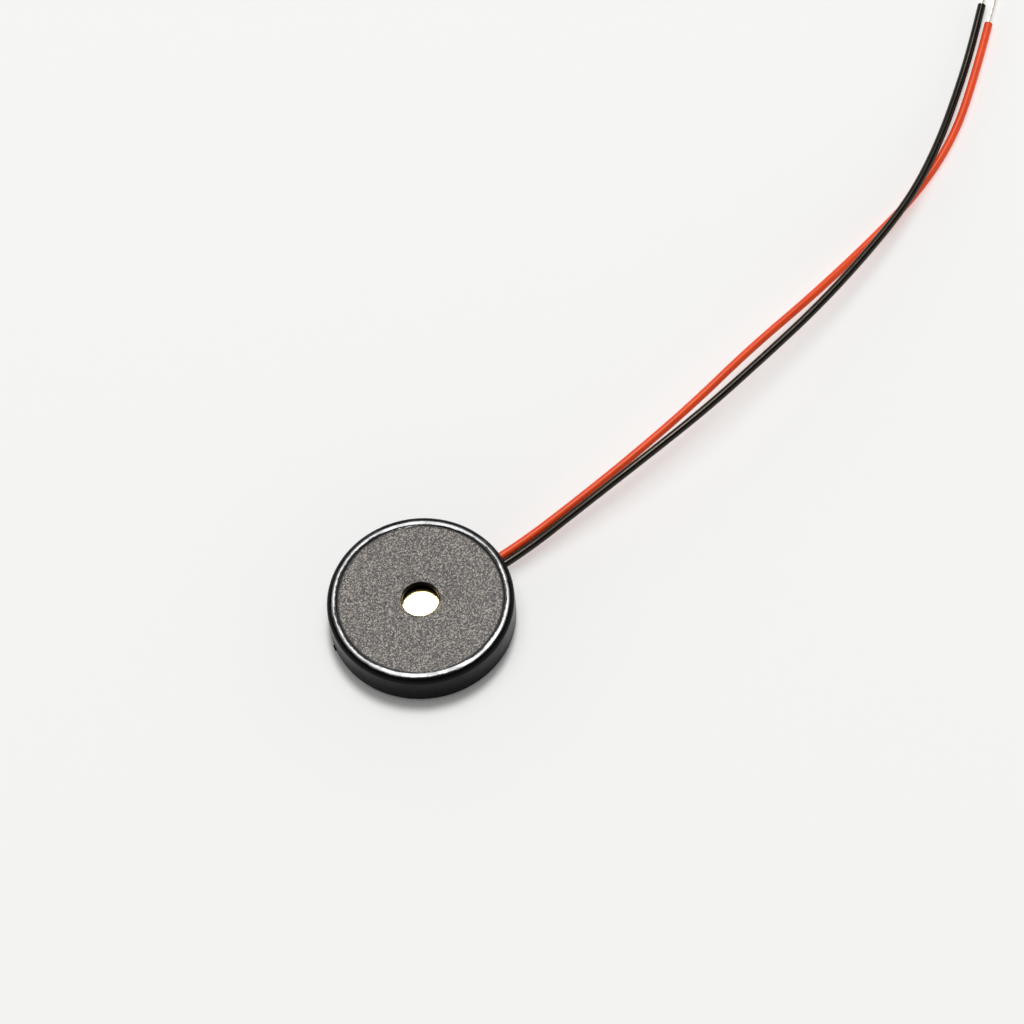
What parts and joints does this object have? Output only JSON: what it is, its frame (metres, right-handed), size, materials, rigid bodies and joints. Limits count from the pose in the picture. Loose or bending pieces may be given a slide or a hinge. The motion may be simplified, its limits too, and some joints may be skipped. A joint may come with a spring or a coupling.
{
  "type": "piezo buzzer",
  "caption": "Round flat enclosed piezo buzzer with a central sound hole and two flying wire leads, red and black.",
  "frame": {"origin": "centre of the case's underside", "axes": "+Z along the case axis towards the sound hole, +X towards the slot where the leads leave the case"},
  "size_m": [0.1154, 0.0451, 0.0044],
  "materials": {
    "case_plastic": "fine sparked texture on the face, polished rim",
    "cover_plastic": "satin",
    "brass": "bright rolled",
    "ceramic": "matte",
    "silver": "fired silver, satin",
    "adhesive": "satin",
    "solder": "bright",
    "tinned_copper": "tinned, bright",
    "red_insulation": "satin PVC",
    "black_insulation": "satin PVC",
    "sealant": "satin"
  },
  "bodies": {
    "root": {"case": "case_plastic", "back_cover": "cover_plastic", "brass_plate": "brass", "piezo_ceramic": "ceramic", "silver_electrode": "silver", "adhesive_ring": "adhesive", "red_solder_joint": "solder", "black_solder_joint": "solder", "red_lead": "red_insulation", "black_lead": "black_insulation", "red_conductor": "tinned_copper", "black_conductor": "tinned_copper", "lead_sealant": "sealant"}
  },
  "joints": []
}
